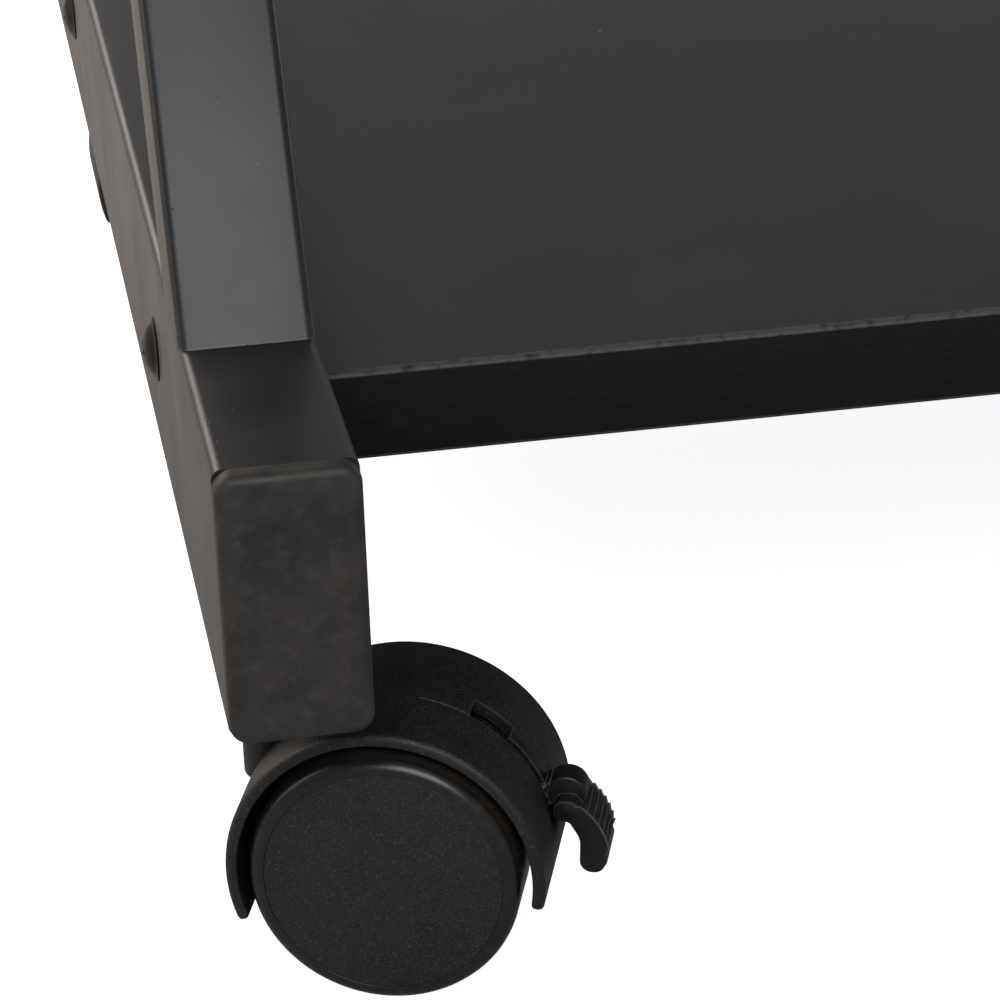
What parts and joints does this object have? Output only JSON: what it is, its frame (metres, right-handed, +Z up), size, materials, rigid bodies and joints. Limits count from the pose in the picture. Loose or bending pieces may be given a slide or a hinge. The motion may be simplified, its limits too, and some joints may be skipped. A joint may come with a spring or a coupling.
{
  "type": "rolling utility cart",
  "caption": "Rolling utility cart: Z-shaped black steel side frames, flat shelves and twin-wheel swivel casters with toe brakes.",
  "frame": {"origin": "on the floor under the middle of the cart", "axes": "+Z up, +Y towards the back, +X towards the right-hand side frame"},
  "size_m": [0.61, 0.48, 0.64],
  "materials": {
    "powder_coat": "satin black powder coat",
    "black_zinc": "black zinc plated steel",
    "melamine": "smooth satin black melamine on particleboard",
    "edge_band": "fine grained black edge band",
    "cap_plastic": "scuffed black polyethylene",
    "wheel_nylon": "smooth black nylon",
    "cover_nylon": "fine textured black nylon",
    "hood_nylon": "grained black nylon",
    "lever_nylon": "moulded black nylon",
    "zinc_steel": "zinc plated steel"
  },
  "bodies": {
    "frame": {"base_cap_front_left": "cap_plastic", "base_cap_front_right": "cap_plastic", "base_cap_rear_left": "cap_plastic", "base_cap_rear_right": "cap_plastic", "base_rail_left": "powder_coat", "base_rail_right": "powder_coat", "bottom_board": "melamine", "bottom_board_screws": "black_zinc", "bottom_edge_band": "edge_band", "cross_bar": "powder_coat", "cross_bar_bolts": "black_zinc", "cross_bar_inserts": "cap_plastic", "front_left_stem": "zinc_steel", "front_right_stem": "zinc_steel", "middle_board": "melamine", "middle_board_screws": "black_zinc", "middle_edge_band": "edge_band", "post_left": "powder_coat", "post_right": "powder_coat", "rear_left_stem": "zinc_steel", "rear_right_stem": "zinc_steel", "shelf_bar_caps": "cap_plastic", "shelf_bar_left": "powder_coat", "shelf_bar_right": "powder_coat", "stem_nuts": "zinc_steel", "top_board": "melamine", "top_board_screws": "black_zinc", "top_caps": "cap_plastic", "top_edge_band": "edge_band", "top_rail_left": "powder_coat", "top_rail_right": "powder_coat"},
    "front_left_caster": {"front_left_hood": "hood_nylon", "front_left_axle": "zinc_steel", "front_left_lever_pin": "zinc_steel"},
    "front_left_roller_a": {"front_left_wheel_a": "wheel_nylon", "front_left_cover_a": "cover_nylon"},
    "front_left_roller_b": {"front_left_wheel_b": "wheel_nylon", "front_left_cover_b": "cover_nylon"},
    "front_left_brake": {"front_left_lever": "lever_nylon"},
    "front_right_caster": {"front_right_hood": "hood_nylon", "front_right_axle": "zinc_steel", "front_right_lever_pin": "zinc_steel"},
    "front_right_roller_a": {"front_right_wheel_a": "wheel_nylon", "front_right_cover_a": "cover_nylon"},
    "front_right_roller_b": {"front_right_wheel_b": "wheel_nylon", "front_right_cover_b": "cover_nylon"},
    "front_right_brake": {"front_right_lever": "lever_nylon"},
    "rear_left_caster": {"rear_left_hood": "hood_nylon", "rear_left_axle": "zinc_steel"},
    "rear_left_roller_a": {"rear_left_wheel_a": "wheel_nylon", "rear_left_cover_a": "cover_nylon"},
    "rear_left_roller_b": {"rear_left_wheel_b": "wheel_nylon", "rear_left_cover_b": "cover_nylon"},
    "rear_right_caster": {"rear_right_hood": "hood_nylon", "rear_right_axle": "zinc_steel"},
    "rear_right_roller_a": {"rear_right_wheel_a": "wheel_nylon", "rear_right_cover_a": "cover_nylon"},
    "rear_right_roller_b": {"rear_right_wheel_b": "wheel_nylon", "rear_right_cover_b": "cover_nylon"}
  },
  "joints": [
    {"name": "front_left_swivel", "type": "hinge", "parent": "frame", "child": "front_left_caster", "pos_m": [-0.2875, -0.1945, 0.055], "axis": [0, 0, 1], "continuous": true},
    {"name": "front_left_spin_a", "type": "hinge", "parent": "front_left_caster", "child": "front_left_roller_a", "pos_m": [-0.26664, -0.20148, 0.025], "axis": [0.3173, 0.9483, 0], "continuous": true},
    {"name": "front_left_spin_b", "type": "hinge", "parent": "front_left_caster", "child": "front_left_roller_b", "pos_m": [-0.26664, -0.20148, 0.025], "axis": [0.3173, 0.9483, 0], "continuous": true},
    {"name": "front_left_brake_press", "type": "hinge", "parent": "front_left_caster", "child": "front_left_brake", "pos_m": [-0.24132, -0.20995, 0.0344], "axis": [0.3173, 0.9483, 0], "range_deg": [0, 11.5]},
    {"name": "front_right_swivel", "type": "hinge", "parent": "frame", "child": "front_right_caster", "pos_m": [0.2875, -0.1945, 0.055], "axis": [0, 0, 1], "continuous": true},
    {"name": "front_right_spin_a", "type": "hinge", "parent": "front_right_caster", "child": "front_right_roller_a", "pos_m": [0.26664, -0.20148, 0.025], "axis": [0.3173, -0.9483, 0], "continuous": true},
    {"name": "front_right_spin_b", "type": "hinge", "parent": "front_right_caster", "child": "front_right_roller_b", "pos_m": [0.26664, -0.20148, 0.025], "axis": [0.3173, -0.9483, 0], "continuous": true},
    {"name": "front_right_brake_press", "type": "hinge", "parent": "front_right_caster", "child": "front_right_brake", "pos_m": [0.24132, -0.20995, 0.0344], "axis": [0.3173, -0.9483, 0], "range_deg": [0, 11.5]},
    {"name": "rear_left_swivel", "type": "hinge", "parent": "frame", "child": "rear_left_caster", "pos_m": [-0.2875, 0.1945, 0.055], "axis": [0, 0, 1], "continuous": true},
    {"name": "rear_left_spin_a", "type": "hinge", "parent": "rear_left_caster", "child": "rear_left_roller_a", "pos_m": [-0.2655, 0.1945, 0.025], "axis": [0, 1, 0], "continuous": true},
    {"name": "rear_left_spin_b", "type": "hinge", "parent": "rear_left_caster", "child": "rear_left_roller_b", "pos_m": [-0.2655, 0.1945, 0.025], "axis": [0, 1, 0], "continuous": true},
    {"name": "rear_right_swivel", "type": "hinge", "parent": "frame", "child": "rear_right_caster", "pos_m": [0.2875, 0.1945, 0.055], "axis": [0, 0, 1], "continuous": true},
    {"name": "rear_right_spin_a", "type": "hinge", "parent": "rear_right_caster", "child": "rear_right_roller_a", "pos_m": [0.26808, 0.20483, 0.025], "axis": [-0.4695, -0.8829, 0], "continuous": true},
    {"name": "rear_right_spin_b", "type": "hinge", "parent": "rear_right_caster", "child": "rear_right_roller_b", "pos_m": [0.26808, 0.20483, 0.025], "axis": [-0.4695, -0.8829, 0], "continuous": true}
  ]
}
